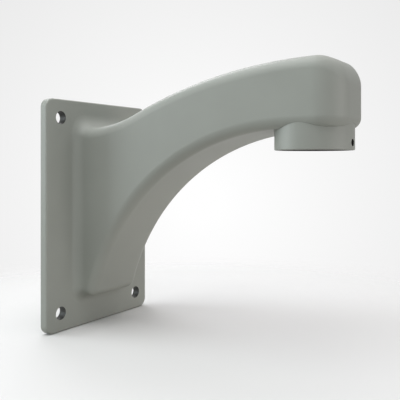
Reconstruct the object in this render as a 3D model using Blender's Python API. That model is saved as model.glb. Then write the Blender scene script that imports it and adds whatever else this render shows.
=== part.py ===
"""Wall-mount arm for a pendant camera, as an assembly of separate pieces.

Metres, +Z up. The origin is the middle of the flange's back face, on the wall.
+X runs out of the wall towards the head, and the arm is symmetric across Y.
"""
import math

import bmesh
import bpy
from mathutils import Matrix, Vector

# Gap between pieces that touch, and how far a cutter runs past a face
CLEARANCE = 0.0003
OVERRUN = 0.003

# Flange that lies on the wall
FLANGE_WIDTH = 0.130
FLANGE_HEIGHT = 0.200
FLANGE_THICKNESS = 0.0074
FLANGE_CORNER_R = 0.008
FLANGE_EDGE_R = 0.0014
HOLE_DIAMETER = 0.011
HOLE_INSET = 0.016

# Arm: a box section whose underside is one long arc and whose top is an S of two arcs
ARM_WIDTH = 0.060
ARM_REACH = 0.2485
ARM_WALL = 0.0045
ROOT_FILLET_HEIGHT = 0.0096
ROOT_FILLET_SPREAD = 0.0074
ROOT_TOP_FILLET_R = 0.013
ROOT_SINK = 0.0008
ROOT_TOP_Z = 0.0761
HEEL_Z = -0.0725
HEEL_EXTRA_R = 0.0007
HEEL_FLAT = 0.0005
HEAD_TOP_Z = 0.1193
HEAD_BOTTOM_Z = 0.0694
TOP_DIP_SHARE = 0.25
UNDERSIDE_FLAT = 0.009
UPPER_EDGE_R = 0.0100
NOSE_EDGE_R = 0.0105
LOWER_EDGE_R = 0.0083
NOSE_CORNER_R = 0.020
BROW_DROP = 0.0093
INNER_EDGE_R = 0.0035

# Threaded collar under the head, turned about a vertical axis
COLLAR_DIAMETER = 0.0574
COLLAR_DROP = 0.0151
NOSE_OVERHANG = 0.0015
COLLAR_CHAMFER = 0.0008
SEAT_RISE = 0.0066
SHOULDER_WIDTH = 0.0037
SPIGOT_LENGTH = 0.0083
SPIGOT_CHAMFER = 0.0008
SOCKET_FLOOR = 0.006
THREAD_BORE_DIAMETER = 0.0450
THREAD_LENGTH = 0.0190
MOUTH_STEP = 0.0025
MOUTH_DEPTH = 0.002
NECK_WALL = 0.0026

# O-ring in the spigot's groove
O_RING_SECTION = 0.0021
O_RING_GROOVE_RISE = 0.0018

# Set screw in the front of the collar
SET_SCREW_DIAMETER = 0.005
SET_SCREW_SINK = 0.0012
SET_SCREW_CHAMFER = 0.0006
SET_SCREW_RISE = 0.0052
HEX_SOCKET_WIDTH = 0.0025
HEX_SOCKET_DEPTH = 0.0022

# Rubber gasket in a groove round the rear cable opening
GASKET_MARGIN = 0.004
GASKET_WIDTH = 0.006
GASKET_CORNER_R = 0.008
GASKET_DEPTH = 0.002

# Eye bolt and jam nut under the roof of the head
EYE_OFFSET = 0.0147
EYE_THREAD_DIAMETER = 0.005
EYE_TAP_DEPTH = 0.0052
EYE_BOSS_DIAMETER = 0.012
EYE_BOSS_HEIGHT = 0.0048
EYE_RING_RADIUS = 0.007
EYE_WIRE_DIAMETER = 0.004
EYE_NUT_WIDTH = 0.008
EYE_NUT_HEIGHT = 0.0035
EYE_NUT_GAP = 0.0008

# Earth screw and washer on a boss that faces the rear opening
EARTH_Z = -0.025
EARTH_BOSS_HEIGHT = 0.013
EARTH_BOSS_DIAMETER = 0.010
EARTH_THREAD_DIAMETER = 0.004
EARTH_THREAD_LENGTH = 0.010
EARTH_HEAD_DIAMETER = 0.008
EARTH_HEAD_HEIGHT = 0.0028
EARTH_HEAD_DOME = 0.0014
EARTH_WASHER_DIAMETER = 0.009
EARTH_WASHER_THICKNESS = 0.001

# Facets and merging
FILLET_STEPS = 5
ARC_STEPS = 24
HEEL_STEPS = 5
NOSE_STEPS = 8
CORNER_STEPS = 6
ROUND_SEGMENTS = 64
SMALL_SEGMENTS = 24
WIRE_SEGMENTS = 10
HEX_SIDES = 6
SHARP_ANGLE = math.radians(30)
MERGE_DISTANCE = 1e-6

# Sizes that follow from the ones above
ROOT_X = FLANGE_THICKNESS + ROOT_FILLET_HEIGHT
ROOT_TOP_X = FLANGE_THICKNESS + ROOT_TOP_FILLET_R
HALF_ARM = ARM_WIDTH / 2
NOSE_X = ARM_REACH - NOSE_CORNER_R
BROW_R = (NOSE_CORNER_R ** 2 + BROW_DROP ** 2) / (2 * BROW_DROP)
HEEL_R = LOWER_EDGE_R + HEEL_EXTRA_R
SEAT_Z = HEAD_BOTTOM_Z + SEAT_RISE
SOCKET_FLOOR_Z = SEAT_Z + SOCKET_FLOOR
SHOULDER_Z = SEAT_Z - CLEARANCE
COLLAR_R = COLLAR_DIAMETER / 2
COLLAR_BOTTOM_Z = HEAD_BOTTOM_Z - COLLAR_DROP
OUTLET_X = ARM_REACH - NOSE_OVERHANG - COLLAR_R
SPIGOT_R = COLLAR_R - SHOULDER_WIDTH
O_RING_GROOVE_R = SPIGOT_R - O_RING_SECTION - CLEARANCE
NECK_R = O_RING_GROOVE_R - NECK_WALL
THREAD_BORE_R = THREAD_BORE_DIAMETER / 2
MOUTH_R = THREAD_BORE_R + MOUTH_STEP
MOUTH_TOP_Z = COLLAR_BOTTOM_Z + MOUTH_DEPTH
ROOF_Z = HEAD_TOP_Z - ARM_WALL
EYE_X = OUTLET_X + EYE_OFFSET
EYE_BOSS_Z = ROOF_Z - EYE_BOSS_HEIGHT
SET_SCREW_Z = COLLAR_BOTTOM_Z + SET_SCREW_RISE
SET_SCREW_LENGTH = COLLAR_R - THREAD_BORE_R - SET_SCREW_SINK

POWDER_COAT = (0.310, 0.330, 0.305)
STAINLESS = (0.560, 0.560, 0.550)
BLACK_OXIDE = (0.030, 0.030, 0.032)
ZINC = (0.620, 0.630, 0.640)
RUBBER = (0.020, 0.020, 0.020)


def clear_scene():
    for obj in list(bpy.data.objects):
        bpy.data.objects.remove(obj, do_unlink=True)


def material(name, colour, roughness, metallic):
    """One Principled material."""
    mat = bpy.data.materials.new(name)
    mat.use_nodes = True
    shader = mat.node_tree.nodes["Principled BSDF"]
    shader.inputs["Base Color"].default_value = (*colour, 1.0)
    shader.inputs["Roughness"].default_value = roughness
    shader.inputs["Metallic"].default_value = metallic
    return mat


def make_object(name, bm, location=(0, 0, 0), rotation=(0, 0, 0)):
    """Turn a bmesh into a scene object with its faces pointing out."""
    bmesh.ops.recalc_face_normals(bm, faces=bm.faces)
    mesh = bpy.data.meshes.new(name)
    bm.to_mesh(mesh)
    bm.free()
    mesh.shade_smooth()
    mesh.set_sharp_from_angle(angle=SHARP_ANGLE)
    obj = bpy.data.objects.new(name, mesh)
    bpy.context.scene.collection.objects.link(obj)
    obj.location = location
    obj.rotation_euler = rotation
    return obj


def make_piece(name, bm, mat, parent, location=(0, 0, 0), rotation=(0, 0, 0)):
    obj = make_object(name, bm, location, rotation)
    obj.data.materials.append(mat)
    obj.parent = parent
    return obj


def make_tool(name, bm, location=(0, 0, 0), rotation=(0, 0, 0)):
    """A hidden shape that only cuts or fills another."""
    obj = make_object(name, bm, location, rotation)
    obj.hide_render = True
    obj.display_type = "WIRE"
    return obj


def boolean(target, tool, operation):
    modifier = target.modifiers.new(tool.name, "BOOLEAN")
    modifier.operation = operation
    modifier.object = tool
    modifier.solver = "EXACT"


def loft(rings, closed=False):
    """Skin a list of equal rings; open lofts get flat end caps, closed ones join up."""
    bm = bmesh.new()
    loops = [[bm.verts.new(point) for point in ring] for ring in rings]
    count = len(rings[0])
    pairs = list(zip(loops, loops[1:]))
    if closed:
        pairs.append((loops[-1], loops[0]))
    for first, second in pairs:
        for i in range(count):
            j = (i + 1) % count
            bm.faces.new((first[i], first[j], second[j], second[i]))
    if not closed:
        bm.faces.new(reversed(loops[0]))
        bm.faces.new(loops[-1])
    return bm


def turn(profile, segments):
    """Turn a closed (radius, z) outline about local Z."""
    rings = []
    for step in range(segments):
        angle = 2 * math.pi * step / segments
        rings.append([(r * math.cos(angle), r * math.sin(angle), z) for r, z in profile])
    bm = loft(rings, closed=True)
    bmesh.ops.remove_doubles(bm, verts=bm.verts, dist=MERGE_DISTANCE)
    bmesh.ops.dissolve_degenerate(bm, edges=bm.edges, dist=MERGE_DISTANCE)
    return bm


def cylinder(radius, length, segments):
    """A cylinder from local z 0 to its length."""
    return loft([circle(radius, z, segments) for z in (0, length)])


def circle(radius, z, segments):
    angles = [2 * math.pi * i / segments for i in range(segments)]
    return [(radius * math.cos(a), radius * math.sin(a), z) for a in angles]


def ring_torus(radius, section_r, segments):
    """A ring of round section about local Z."""
    angles = [2 * math.pi * i / WIRE_SEGMENTS for i in range(WIRE_SEGMENTS)]
    outline = [(radius + section_r * math.cos(a), section_r * math.sin(a)) for a in angles]
    return turn(outline, segments)


def rounded_rectangle(half_width, z_low, z_high, radius, x):
    """Corner-rounded outline in a plane of constant x."""
    corners = ((1, z_high, 0), (-1, z_high, 90), (-1, z_low, 180), (1, z_low, 270))
    points = []
    for side, z, start in corners:
        centre_y = side * (half_width - radius)
        centre_z = z - radius if z == z_high else z + radius
        for step in range(CORNER_STEPS + 1):
            angle = math.radians(start + 90 * step / CORNER_STEPS)
            points.append((x, centre_y + radius * math.cos(angle), centre_z + radius * math.sin(angle)))
    return points


def spread(low, high, steps):
    return [low + (high - low) * i / steps for i in range(steps + 1)]


def underside_arc():
    """Centre and radius, in XZ, of the long arc that meets the heel and the head's flat underside."""
    run = OUTLET_X - UNDERSIDE_FLAT - ROOT_X - HEEL_FLAT
    rise = HEEL_Z + HEEL_R - HEAD_BOTTOM_Z
    radius = (run ** 2 + rise ** 2 - HEEL_R ** 2) / (2 * (HEEL_R - rise))
    return Vector((OUTLET_X - UNDERSIDE_FLAT, HEAD_BOTTOM_Z - radius)), radius


def underside_stations():
    """(point, inward normal) in XZ, from the root along heel, long arc and head."""
    heel = Vector((ROOT_X + HEEL_FLAT, HEEL_Z + HEEL_R))
    centre, radius = underside_arc()
    lean = math.atan2(heel.y - centre.y, centre.x - heel.x)
    stations = [(Vector((ROOT_X, HEEL_Z)), Vector((0, 1)))]
    for angle in spread(math.pi / 2, lean, HEEL_STEPS):
        inward = Vector((-math.cos(angle), math.sin(angle)))
        stations.append((heel - HEEL_R * inward, inward))
    for angle in spread(lean, math.pi / 2, ARC_STEPS)[1:]:
        inward = Vector((-math.cos(angle), math.sin(angle)))
        stations.append((centre + radius * inward, inward))
    return stations


def earth_face_x():
    """Where the earth boss ends: its height away from the inside of the sloping underside wall."""
    centre, radius = underside_arc()
    inside = math.sqrt((radius + ARM_WALL) ** 2 - (EARTH_Z - centre.y) ** 2)
    return centre.x - inside - EARTH_BOSS_HEIGHT


def top_stations(count):
    """(point, inward normal) in XZ along the top's two tangent arcs."""
    run = NOSE_X - ROOT_X
    rise = HEAD_TOP_Z - ROOT_TOP_Z
    both_radii = (run ** 2 + rise ** 2) / (2 * rise)
    dip_r = both_radii * TOP_DIP_SHARE
    crown_r = both_radii - dip_r
    stations = []
    for x in spread(ROOT_TOP_X, OUTLET_X - UNDERSIDE_FLAT, count - 1):
        if x < ROOT_X + TOP_DIP_SHARE * run:
            slope = math.asin((x - ROOT_X) / dip_r)
            z = ROOT_TOP_Z + dip_r * (1 - math.cos(slope))
        else:
            slope = math.asin((NOSE_X - x) / crown_r)
            z = HEAD_TOP_Z - crown_r * (1 - math.cos(slope))
        stations.append((Vector((x, z)), Vector((math.sin(slope), -math.cos(slope)))))
    return stations


def head_top(x):
    """Height of the head's top, which falls away in a brow over the nose."""
    ahead = x - NOSE_X
    return HEAD_TOP_Z - BROW_R + math.sqrt(BROW_R ** 2 - ahead ** 2)


def half_section(inset, upper_edge=UPPER_EDGE_R):
    """(face, depth from skin, distance from flank, in-plane normal) round one side's two edges."""
    lower = INNER_EDGE_R if inset else LOWER_EDGE_R
    upper = INNER_EDGE_R if inset else upper_edge
    angles = spread(0, math.pi / 2, FILLET_STEPS)
    edges = []
    for a in angles:
        depth = inset + lower * (1 - math.cos(a))
        edges.append(("under", depth, inset + lower * (1 - math.sin(a)), (math.sin(a), -math.cos(a))))
    for a in reversed(angles):
        depth = inset + upper * (1 - math.cos(a))
        edges.append(("top", depth, inset + upper * (1 - math.sin(a)), (math.sin(a), math.cos(a))))
    return edges


def mirrored(half):
    """Close a half ring by its mirror image across Y."""
    return half + [(x, -y, z) for x, y, z in reversed(half)]


def flank_rings(inset):
    """Rings from the root to the start of the head's flat underside."""
    under = underside_stations()
    top = top_stations(len(under))
    rings = []
    for low, high in zip(under, top):
        half = []
        for face, depth, from_flank, _ in half_section(inset):
            point, inward = low if face == "under" else high
            x, z = point + inward * depth
            half.append((x, HALF_ARM - from_flank, z))
        rings.append(mirrored(half))
    return rings


def nose_rings(inset):
    """Rings round the head's plan corner, ending on the middle of its front."""
    rings = []
    for turned in spread(0, math.pi / 2, NOSE_STEPS):
        upper_edge = UPPER_EDGE_R + (NOSE_EDGE_R - UPPER_EDGE_R) * math.sin(turned)
        half = []
        for face, depth, from_flank, _ in half_section(inset, upper_edge):
            radius = NOSE_CORNER_R - from_flank
            x = NOSE_X + radius * math.sin(turned)
            y = HALF_ARM - NOSE_CORNER_R + radius * math.cos(turned)
            z = HEAD_BOTTOM_Z + depth if face == "under" else head_top(x) - depth
            half.append((x, y, z))
        rings.append(mirrored(half))
    rings.append([(x, 0.0, z) for x, _, z in rings[-1]])
    return rings


def root_rings(first_ring):
    """Concave fillet that spreads the first ring of the arm onto the flange."""
    last_angle = math.radians(90 - 90 / (2 * FILLET_STEPS))
    last_out = 1 - math.cos(last_angle)
    rings = [fillet_ring(first_ring, 0.0, last_out, ROOT_SINK)]
    for angle in spread(last_angle, 0, FILLET_STEPS)[:-1]:
        rings.append(fillet_ring(first_ring, 1 - math.sin(angle), 1 - math.cos(angle), 0.0))
    return rings


def fillet_ring(ring, up_share, out_share, sink):
    """Ring at these shares of the root fillet's height and spread, which are larger over the top."""
    normals = [normal for _, _, _, normal in half_section(0.0)]
    normals += [(-across, up) for across, up in reversed(normals)]
    points = []
    for (_, y, z), (across, up) in zip(ring, normals):
        over_top = max(up, 0.0)
        height = ROOT_FILLET_HEIGHT + (ROOT_TOP_FILLET_R - ROOT_FILLET_HEIGHT) * over_top
        width = ROOT_FILLET_SPREAD + (ROOT_TOP_FILLET_R - ROOT_FILLET_SPREAD) * over_top
        out = width * out_share + sink
        points.append((FLANGE_THICKNESS + height * up_share - sink, y + out * across, z + out * up))
    return points


def closed_skin(rings):
    """Loft whose last ring has folded onto a line, so it needs no end cap there."""
    bm = loft(rings)
    bmesh.ops.remove_doubles(bm, verts=bm.verts, dist=MERGE_DISTANCE)
    bmesh.ops.dissolve_degenerate(bm, edges=bm.edges, dist=MERGE_DISTANCE)
    bmesh.ops.triangulate(bm, faces=bm.faces)
    return bm


def arm_solid():
    rings = flank_rings(0.0)
    return closed_skin(root_rings(rings[0]) + rings + nose_rings(0.0))


def cavity_solid():
    """The inside of the arm, run out through the back of the flange."""
    rings = flank_rings(ARM_WALL)
    mouth = [(-OVERRUN, y, z) for _, y, z in rings[0]]
    return closed_skin([mouth] + rings + nose_rings(ARM_WALL))


def flange_outline(inset, x):
    half_height = FLANGE_HEIGHT / 2 - inset
    radius = FLANGE_CORNER_R - inset
    return rounded_rectangle(FLANGE_WIDTH / 2 - inset, -half_height, half_height, radius, x)


def flange_solid():
    """Flat plate with its front edge rounded over."""
    rings = [flange_outline(0.0, 0.0)]
    for angle in spread(0, math.pi / 2, FILLET_STEPS):
        inset = FLANGE_EDGE_R * (1 - math.cos(angle))
        rise = FLANGE_EDGE_R * math.sin(angle)
        rings.append(flange_outline(inset, FLANGE_THICKNESS - FLANGE_EDGE_R + rise))
    return loft(rings)


def gasket_rings(gap, depth):
    """Four outlines of the band round the rear opening, for a closed loft."""
    half_width = HALF_ARM - ARM_WALL + GASKET_MARGIN
    z_low = HEEL_Z + ARM_WALL - GASKET_MARGIN
    z_high = ROOT_TOP_Z - ARM_WALL + GASKET_MARGIN

    def outline(out, x):
        return rounded_rectangle(half_width + out, z_low - out, z_high + out, GASKET_CORNER_R + out, x)

    inner = gap
    outer = GASKET_WIDTH - gap
    back = 0.0 if gap else -OVERRUN
    return [outline(outer, back), outline(outer, depth), outline(inner, depth), outline(inner, back)]


def fixing_holes():
    """Four through holes near the flange's corners, in one tool."""
    bm = bmesh.new()
    depth = FLANGE_THICKNESS + 2 * OVERRUN
    y = FLANGE_WIDTH / 2 - HOLE_INSET
    z = FLANGE_HEIGHT / 2 - HOLE_INSET
    for corner in ((-y, -z), (-y, z), (y, -z), (y, z)):
        place = Matrix.Translation((FLANGE_THICKNESS / 2, *corner)) @ Matrix.Rotation(math.pi / 2, 4, "Y")
        radius = HOLE_DIAMETER / 2
        bmesh.ops.create_cone(bm, cap_ends=True, segments=SMALL_SEGMENTS, radius1=radius,
                              radius2=radius, depth=depth, matrix=place)
    return bm


def collar_socket():
    """Counterbore for the collar, and the bore for its spigot above it."""
    counterbore_r = COLLAR_R + CLEARANCE
    bore_r = SPIGOT_R + CLEARANCE
    low_z = COLLAR_BOTTOM_Z
    high_z = SEAT_Z + SPIGOT_LENGTH + OVERRUN
    outline = [(0, high_z), (bore_r, high_z), (bore_r, SEAT_Z), (counterbore_r, SEAT_Z),
               (counterbore_r, low_z), (0, low_z)]
    return turn(outline, ROUND_SEGMENTS)


def collar_solid():
    """Turned sleeve: spigot with O-ring groove above, threaded bore and plain mouth below."""
    top_z = SHOULDER_Z + SPIGOT_LENGTH
    groove_low = SHOULDER_Z + O_RING_GROOVE_RISE
    groove_high = groove_low + O_RING_SECTION + 2 * CLEARANCE
    thread_z = COLLAR_BOTTOM_Z + THREAD_LENGTH
    outline = [
        (NECK_R, top_z),
        (SPIGOT_R - SPIGOT_CHAMFER, top_z),
        (SPIGOT_R, top_z - SPIGOT_CHAMFER),
        (SPIGOT_R, groove_high),
        (O_RING_GROOVE_R, groove_high),
        (O_RING_GROOVE_R, groove_low),
        (SPIGOT_R, groove_low),
        (SPIGOT_R, SHOULDER_Z),
        (COLLAR_R, SHOULDER_Z),
        (COLLAR_R, COLLAR_BOTTOM_Z + COLLAR_CHAMFER),
        (COLLAR_R - COLLAR_CHAMFER, COLLAR_BOTTOM_Z),
        (MOUTH_R, COLLAR_BOTTOM_Z),
        (MOUTH_R, MOUTH_TOP_Z),
        (THREAD_BORE_R, MOUTH_TOP_Z),
        (THREAD_BORE_R, thread_z),
        (NECK_R, thread_z),
    ]
    return turn(outline, ROUND_SEGMENTS)


def build_casting(parent):
    coat = material("powder_coat", POWDER_COAT, roughness=0.5, metallic=0.0)
    casting = make_piece("arm_casting", arm_solid(), coat, parent)
    cavity = make_tool("cavity", cavity_solid())
    socket_wall = cylinder(COLLAR_R + ARM_WALL, SOCKET_FLOOR_Z - COLLAR_BOTTOM_Z, ROUND_SEGMENTS)
    socket_boss = make_tool("socket_boss", socket_wall, (OUTLET_X, 0, COLLAR_BOTTOM_Z))
    eye_post = cylinder(EYE_BOSS_DIAMETER / 2, EYE_BOSS_HEIGHT + OVERRUN, SMALL_SEGMENTS)
    eye_boss = make_tool("eye_boss", eye_post, (EYE_X, 0, EYE_BOSS_Z))
    facing_wall = (0, math.pi / 2, 0)
    earth_x = earth_face_x()
    earth_post = cylinder(EARTH_BOSS_DIAMETER / 2, ARM_REACH, SMALL_SEGMENTS)
    earth_boss = make_tool("earth_boss", earth_post, (earth_x, 0, EARTH_Z), facing_wall)
    for boss in (socket_boss, eye_boss, earth_boss):
        boolean(cavity, boss, "DIFFERENCE")

    eye_r = EYE_THREAD_DIAMETER / 2 + CLEARANCE
    eye_bore = cylinder(eye_r, OVERRUN + EYE_TAP_DEPTH + CLEARANCE, SMALL_SEGMENTS)
    eye_hole = make_tool("eye_hole", eye_bore, (EYE_X, 0, EYE_BOSS_Z - OVERRUN))
    earth_r = EARTH_THREAD_DIAMETER / 2 + CLEARANCE
    earth_bore = cylinder(earth_r, OVERRUN + EARTH_THREAD_LENGTH + CLEARANCE, SMALL_SEGMENTS)
    earth_hole = make_tool("earth_hole", earth_bore, (earth_x - OVERRUN, 0, EARTH_Z), facing_wall)

    boolean(casting, make_tool("flange", flange_solid()), "UNION")
    boolean(casting, cavity, "DIFFERENCE")
    boolean(casting, make_tool("collar_socket", collar_socket(), (OUTLET_X, 0, 0)), "DIFFERENCE")
    boolean(casting, make_tool("fixing_holes", fixing_holes()), "DIFFERENCE")
    groove = loft(gasket_rings(0.0, GASKET_DEPTH), closed=True)
    boolean(casting, make_tool("gasket_groove", groove), "DIFFERENCE")
    boolean(casting, eye_hole, "DIFFERENCE")
    boolean(casting, earth_hole, "DIFFERENCE")


def build_collar(parent):
    coat = material("collar_coat", POWDER_COAT, roughness=0.45, metallic=0.0)
    collar = make_piece("thread_collar", collar_solid(), coat, parent, (OUTLET_X, 0, 0))
    hole = cylinder(SET_SCREW_DIAMETER / 2 + CLEARANCE, COLLAR_R + OVERRUN, SMALL_SEGMENTS)
    across = (0, math.pi / 2, 0)
    boolean(collar, make_tool("set_screw_hole", hole, (OUTLET_X, 0, SET_SCREW_Z), across), "DIFFERENCE")


def build_o_ring(parent):
    ring_r = O_RING_GROOVE_R + CLEARANCE + O_RING_SECTION / 2
    ring = ring_torus(ring_r, O_RING_SECTION / 2, ROUND_SEGMENTS)
    z = SHOULDER_Z + O_RING_GROOVE_RISE + CLEARANCE + O_RING_SECTION / 2
    rubber = material("o_ring_rubber", RUBBER, roughness=0.7, metallic=0.0)
    make_piece("collar_o_ring", ring, rubber, parent, (OUTLET_X, 0, z))


def build_set_screw(parent):
    """Grub screw, its origin on the axis at the tip that meets the pipe."""
    radius = SET_SCREW_DIAMETER / 2
    flat_r = radius - SET_SCREW_CHAMFER
    outline = [(0, SET_SCREW_LENGTH), (flat_r, SET_SCREW_LENGTH),
               (radius, SET_SCREW_LENGTH - SET_SCREW_CHAMFER),
               (radius, SET_SCREW_CHAMFER), (flat_r, 0), (0, 0)]
    steel = material("black_oxide_steel", BLACK_OXIDE, roughness=0.4, metallic=0.8)
    tip = (OUTLET_X + THREAD_BORE_R, 0, SET_SCREW_Z)
    outwards = (0, math.pi / 2, 0)
    screw = make_piece("set_screw", turn(outline, SMALL_SEGMENTS), steel, parent, tip, outwards)
    corner_r = HEX_SOCKET_WIDTH / math.sqrt(3)
    socket = cylinder(corner_r, HEX_SOCKET_DEPTH + OVERRUN, HEX_SIDES)
    floor_x = tip[0] + SET_SCREW_LENGTH - HEX_SOCKET_DEPTH
    boolean(screw, make_tool("hex_socket", socket, (floor_x, 0, SET_SCREW_Z), outwards), "DIFFERENCE")


def build_gasket(parent):
    band = loft(gasket_rings(CLEARANCE, GASKET_DEPTH - CLEARANCE), closed=True)
    rubber = material("gasket_rubber", RUBBER, roughness=0.8, metallic=0.0)
    make_piece("wall_gasket", band, rubber, parent)


def build_lanyard_eye(parent):
    """Eye bolt and the jam nut above its ring."""
    steel = material("stainless_eye", STAINLESS, roughness=0.3, metallic=1.0)
    wire_r = EYE_WIRE_DIAMETER / 2
    nut_top = EYE_BOSS_Z - CLEARANCE
    nut_bottom = nut_top - EYE_NUT_HEIGHT
    ring_top = nut_bottom - EYE_NUT_GAP
    ring_z = ring_top - wire_r - EYE_RING_RADIUS
    upright = (0, math.pi / 2, 0)
    ring = ring_torus(EYE_RING_RADIUS, wire_r, ROUND_SEGMENTS // 2)
    eye = make_piece("lanyard_eye", ring, steel, parent, (EYE_X, 0, ring_z), upright)
    shank_low = ring_z + EYE_RING_RADIUS
    shank_high = EYE_BOSS_Z + EYE_TAP_DEPTH
    shank = cylinder(EYE_THREAD_DIAMETER / 2, shank_high - shank_low, SMALL_SEGMENTS)
    boolean(eye, make_tool("eye_shank", shank, (EYE_X, 0, shank_low)), "UNION")

    nut_steel = material("stainless_nut", STAINLESS, roughness=0.35, metallic=1.0)
    hexagon = cylinder(EYE_NUT_WIDTH / math.sqrt(3), EYE_NUT_HEIGHT, HEX_SIDES)
    nut = make_piece("lanyard_nut", hexagon, nut_steel, parent, (EYE_X, 0, nut_bottom))
    bore = cylinder(EYE_THREAD_DIAMETER / 2 + CLEARANCE, EYE_NUT_HEIGHT + 2 * OVERRUN, SMALL_SEGMENTS)
    boolean(nut, make_tool("nut_bore", bore, (EYE_X, 0, nut_bottom - OVERRUN)), "DIFFERENCE")


def build_earth_screw(parent):
    """Pan-head screw and washer, turned about the screw's axis with the head towards the wall."""
    zinc = material("zinc_screw", ZINC, roughness=0.35, metallic=1.0)
    thread_r = EARTH_THREAD_DIAMETER / 2
    head_r = EARTH_HEAD_DIAMETER / 2
    boss_x = earth_face_x()
    washer_x = boss_x - CLEARANCE - EARTH_WASHER_THICKNESS
    head_x = washer_x - CLEARANCE - EARTH_HEAD_HEIGHT
    tip = boss_x + EARTH_THREAD_LENGTH - head_x
    outline = []
    for angle in spread(0, math.pi / 2, FILLET_STEPS):
        outline.append((head_r * math.sin(angle), EARTH_HEAD_DOME * (1 - math.cos(angle))))
    outline += [(head_r, EARTH_HEAD_HEIGHT), (thread_r, EARTH_HEAD_HEIGHT), (thread_r, tip), (0, tip)]
    into_arm = (0, math.pi / 2, 0)
    screw = turn(outline, SMALL_SEGMENTS)
    make_piece("earth_screw", screw, zinc, parent, (head_x, 0, EARTH_Z), into_arm)

    washer_r = EARTH_WASHER_DIAMETER / 2
    hole_r = thread_r + CLEARANCE
    flat = [(hole_r, 0), (washer_r, 0),
            (washer_r, EARTH_WASHER_THICKNESS), (hole_r, EARTH_WASHER_THICKNESS)]
    plate = material("zinc_washer", ZINC, roughness=0.4, metallic=1.0)
    washer = turn(flat, SMALL_SEGMENTS)
    make_piece("earth_washer", washer, plate, parent, (washer_x, 0, EARTH_Z), into_arm)


def main():
    clear_scene()
    bracket = bpy.data.objects.new("bracket", None)
    bpy.context.scene.collection.objects.link(bracket)
    build_casting(bracket)
    build_collar(bracket)
    build_o_ring(bracket)
    build_set_screw(bracket)
    build_gasket(bracket)
    build_lanyard_eye(bracket)
    build_earth_screw(bracket)


main()
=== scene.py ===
"""Looks of a wall-mount arm for a pendant camera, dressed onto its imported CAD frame.

Metres, +Z up. The origin is the middle of the flange's back face, on the wall.
+X runs out of the wall towards the head, and the arm is symmetric across Y.
"""
import math

import bmesh
import bpy
from mathutils import Matrix, Vector


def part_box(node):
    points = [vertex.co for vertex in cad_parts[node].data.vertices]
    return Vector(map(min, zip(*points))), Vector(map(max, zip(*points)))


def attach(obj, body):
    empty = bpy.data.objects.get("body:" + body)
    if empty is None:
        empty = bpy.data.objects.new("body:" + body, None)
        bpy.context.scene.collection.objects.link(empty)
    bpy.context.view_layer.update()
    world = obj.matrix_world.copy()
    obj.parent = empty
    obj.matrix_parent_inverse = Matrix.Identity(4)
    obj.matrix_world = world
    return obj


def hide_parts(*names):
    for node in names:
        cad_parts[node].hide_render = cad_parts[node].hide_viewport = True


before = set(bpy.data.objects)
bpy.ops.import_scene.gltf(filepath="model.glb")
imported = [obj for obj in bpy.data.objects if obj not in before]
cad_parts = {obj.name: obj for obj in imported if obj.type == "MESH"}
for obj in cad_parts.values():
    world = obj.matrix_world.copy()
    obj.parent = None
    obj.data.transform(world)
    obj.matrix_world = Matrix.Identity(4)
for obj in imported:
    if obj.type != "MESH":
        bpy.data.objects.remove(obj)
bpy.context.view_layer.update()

# Places and sizes read from the frame
CASTING_LOW, CASTING_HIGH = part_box("arm_casting")
COLLAR_LOW, COLLAR_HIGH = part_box("thread_collar")
O_RING_LOW, O_RING_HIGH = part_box("collar_o_ring")
SCREW_LOW, SCREW_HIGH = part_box("set_screw")
GASKET_LOW, GASKET_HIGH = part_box("wall_gasket")
EYE_LOW, EYE_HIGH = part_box("lanyard_eye")
NUT_LOW, NUT_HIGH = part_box("lanyard_nut")
EARTH_LOW, EARTH_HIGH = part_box("earth_screw")
WASHER_LOW, WASHER_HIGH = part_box("earth_washer")
FLANGE_HALF_WIDTH = CASTING_HIGH.y
FLANGE_HALF_HEIGHT = -CASTING_LOW.z
ARM_REACH = CASTING_HIGH.x
HEAD_TOP_Z = CASTING_HIGH.z
COLLAR_R = (COLLAR_HIGH.y - COLLAR_LOW.y) / 2
COLLAR_BOTTOM_Z = COLLAR_LOW.z
COLLAR_TOP_Z = COLLAR_HIGH.z
OUTLET_X = (COLLAR_LOW.x + COLLAR_HIGH.x) / 2

# Casting: the flange, and the arm that the CAD source sweeps from it
CLEARANCE = 0.0003
OVERRUN = 0.003
FLANGE_THICKNESS = 0.0074
FLANGE_CORNER_R = 0.008
FLANGE_EDGE_R = 0.0014
FLANGE_BACK_EDGE_R = 0.0005
HOLE_R = 0.0055
HOLE_INSET = 0.016
HOLE_EDGE_R = 0.00015
ARM_WALL = 0.0045
HALF_ARM = 0.030
ROOT_FILLET_HEIGHT = 0.0096
ROOT_FILLET_SPREAD = 0.0074
ROOT_TOP_FILLET_R = 0.013
ROOT_TOP_Z = 0.0761
HEEL_Z = -0.0725
HEEL_R = 0.009
HEEL_FLAT = 0.0005
TOP_DIP_SHARE = 0.25
UNDERSIDE_FLAT = 0.009
UPPER_EDGE_R = 0.0100
NOSE_EDGE_R = 0.0105
LOWER_EDGE_R = 0.0083
NOSE_CORNER_R = 0.020
BROW_DROP = 0.0093
INNER_EDGE_R = 0.0035
MOUTH_EDGE_R = 0.0008
COLLAR_DROP = 0.0151
HEAD_BOTTOM_Z = COLLAR_BOTTOM_Z + COLLAR_DROP
ROOT_X = FLANGE_THICKNESS + ROOT_FILLET_HEIGHT
ROOT_TOP_X = FLANGE_THICKNESS + ROOT_TOP_FILLET_R
NOSE_X = ARM_REACH - NOSE_CORNER_R
BROW_R = (NOSE_CORNER_R ** 2 + BROW_DROP ** 2) / (2 * BROW_DROP)

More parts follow.
